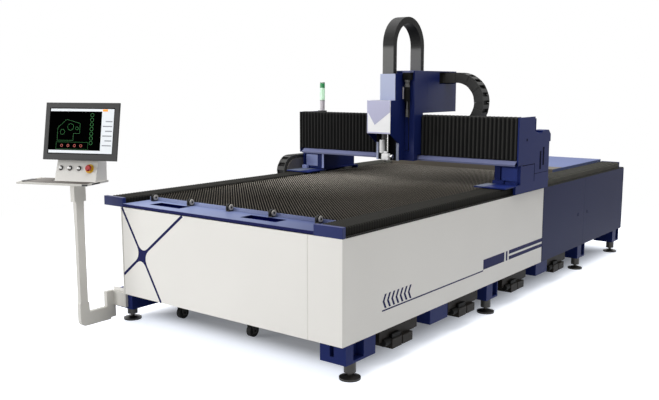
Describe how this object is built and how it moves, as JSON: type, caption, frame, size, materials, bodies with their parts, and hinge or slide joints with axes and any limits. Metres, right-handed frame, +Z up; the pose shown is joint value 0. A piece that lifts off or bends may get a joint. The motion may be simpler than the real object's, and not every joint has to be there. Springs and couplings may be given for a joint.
{
  "type": "laser cutting machine",
  "caption": "Flat bed laser cutting machine with a toothed slat table, a moving gantry with bellows and energy chains, a cutting head, a swivel console and a slag cart.",
  "frame": {"origin": "middle of the machine's footprint on the floor, console included", "axes": "+Z up, +Y along the bed from the loading end to the rear cabinet, +X to the right seen from the loading end"},
  "size_m": [2.679, 5.3704, 2.304],
  "materials": {
    "white_paint": "semi-gloss warm off-white paint",
    "navy_paint": "semi-gloss navy blue paint",
    "pale_paint": "satin light blue paint",
    "putty_paint": "fine textured light warm grey paint",
    "bellows_cloth": "coated black pleated cloth",
    "chain_plastic": "moulded black plastic links",
    "slat_steel": "dull rolled steel",
    "rail_steel": "ground steel",
    "black_plastic": "matt black plastic",
    "black_rubber": "matt black rubber",
    "black_steel": "blackened steel",
    "screen_glass": "glossy dark screen",
    "nozzle_copper": "turned copper alloy",
    "stop_red": "glossy red plastic",
    "stop_yellow": "glossy yellow plastic",
    "button_metal": "polished metal",
    "light_green": "clear green lens"
  },
  "bodies": {
    "bed": {"bed_frame": "navy_paint", "rail_decks": "navy_paint", "y_rails": "rail_steel", "front_lip": "pale_paint", "roller_brackets": "black_steel", "right_side_cover": "white_paint", "left_side_cover": "white_paint", "slats": "slat_steel", "slat_combs": "slat_steel", "bellows_front_left": "bellows_cloth", "bellows_front_right": "bellows_cloth", "bellows_rear_left": "bellows_cloth", "bellows_rear_right": "bellows_cloth", "rear_cabinet": "navy_paint", "rear_top_cover": "pale_paint", "laser_source": "putty_paint", "control_plate": "putty_paint", "exhaust_dampers": "black_plastic", "leveling_feet": "black_steel", "y_chain_tray": "navy_paint", "y_chain": "chain_plastic", "console_arm": "putty_paint"},
    "rollers": {"loading_rollers": "rail_steel"},
    "gantry": {"gantry_beam": "navy_paint", "gantry_legs": "navy_paint", "end_covers": "navy_paint", "y_motors": "black_plastic", "y_guide_blocks": "rail_steel", "x_rails": "rail_steel", "x_chain_tray": "navy_paint", "x_bellows_left": "bellows_cloth", "x_bellows_right": "bellows_cloth", "x_chain": "chain_plastic", "signal_tower": "black_plastic", "signal_light": "light_green"},
    "carriage": {"column": "navy_paint", "carriage_cover": "navy_paint", "x_guide_blocks": "rail_steel", "z_motor": "rail_steel", "z_chain": "chain_plastic"},
    "head": {"z_slide": "navy_paint", "head_cover": "navy_paint", "head_plate": "white_paint", "cutting_head": "rail_steel", "nozzle": "nozzle_copper"},
    "console": {"keyboard_tray": "putty_paint", "console_box": "putty_paint", "monitor": "black_plastic", "screen": "screen_glass", "e_stop_base": "stop_yellow"},
    "stop_button": {"e_stop": "stop_red"},
    "left_button": {"button_1": "button_metal"},
    "middle_button": {"button_2": "button_metal"},
    "right_button": {"button_3": "button_metal"},
    "front_door": {"cabinet_door_front": "navy_paint"},
    "rear_door": {"cabinet_door_rear": "navy_paint"},
    "slag_cart": {"cart_front": "white_paint", "cart_bin": "slat_steel"},
    "front_wheels": {"cart_front_wheels": "black_rubber"},
    "rear_wheels": {"cart_rear_wheels": "black_rubber"}
  },
  "joints": [
    {"name": "roller_spin", "type": "hinge", "parent": "bed", "child": "rollers", "pos_m": [0.20352, -2.0108, 0.935], "axis": [1, 0, 0], "continuous": true},
    {"name": "gantry_travel", "type": "slide", "parent": "bed", "child": "gantry", "axis": [0, 1, 0], "range_m": [-1.6, 1.2], "deforming": ["bellows_front_left", "bellows_front_right", "bellows_rear_left", "bellows_rear_right", "y_chain"]},
    {"name": "carriage_travel", "type": "slide", "parent": "gantry", "child": "carriage", "axis": [1, 0, 0], "range_m": [-0.7, 0.7], "deforming": ["x_bellows_left", "x_bellows_right", "x_chain"]},
    {"name": "head_lift", "type": "slide", "parent": "carriage", "child": "head", "axis": [0, 0, 1], "range_m": [-0.13, 0.03], "deforming": ["z_chain"]},
    {"name": "console_swivel", "type": "hinge", "parent": "bed", "child": "console", "pos_m": [-0.84849, -2.4488, 1.048], "axis": [0, 0, 1], "range_deg": [-40, 40]},
    {"name": "stop_push", "type": "slide", "parent": "console", "child": "stop_button", "axis": [-0.3444, 0.8743, -0.342], "range_m": [0, 0.006], "stiffness_N_per_m": 1500},
    {"name": "left_button_push", "type": "slide", "parent": "console", "child": "left_button", "axis": [-0.3444, 0.8743, -0.342], "range_m": [0, 0.004], "stiffness_N_per_m": 800},
    {"name": "middle_button_push", "type": "slide", "parent": "console", "child": "middle_button", "axis": [-0.3444, 0.8743, -0.342], "range_m": [0, 0.004], "stiffness_N_per_m": 800},
    {"name": "right_button_push", "type": "slide", "parent": "console", "child": "right_button", "axis": [-0.3444, 0.8743, -0.342], "range_m": [0, 0.004], "stiffness_N_per_m": 800},
    {"name": "front_door_hinge", "type": "hinge", "parent": "bed", "child": "front_door", "pos_m": [1.31551, 0.5992, 0.56], "axis": [0, 0, -1], "range_deg": [0, 110]},
    {"name": "rear_door_hinge", "type": "hinge", "parent": "bed", "child": "rear_door", "pos_m": [1.31551, 2.6692, 0.56], "axis": [0, 0, 1], "range_deg": [0, 110]},
    {"name": "cart_pull", "type": "slide", "parent": "bed", "child": "slag_cart", "axis": [0, -1, 0], "range_m": [0, 1.8]},
    {"name": "front_wheels_roll", "type": "hinge", "parent": "slag_cart", "child": "front_wheels", "pos_m": [0.23552, -1.8348, 0.0455], "axis": [1, 0, 0], "continuous": true},
    {"name": "rear_wheels_roll", "type": "hinge", "parent": "slag_cart", "child": "rear_wheels", "pos_m": [0.23552, 0.1652, 0.0455], "axis": [1, 0, 0], "continuous": true}
  ]
}
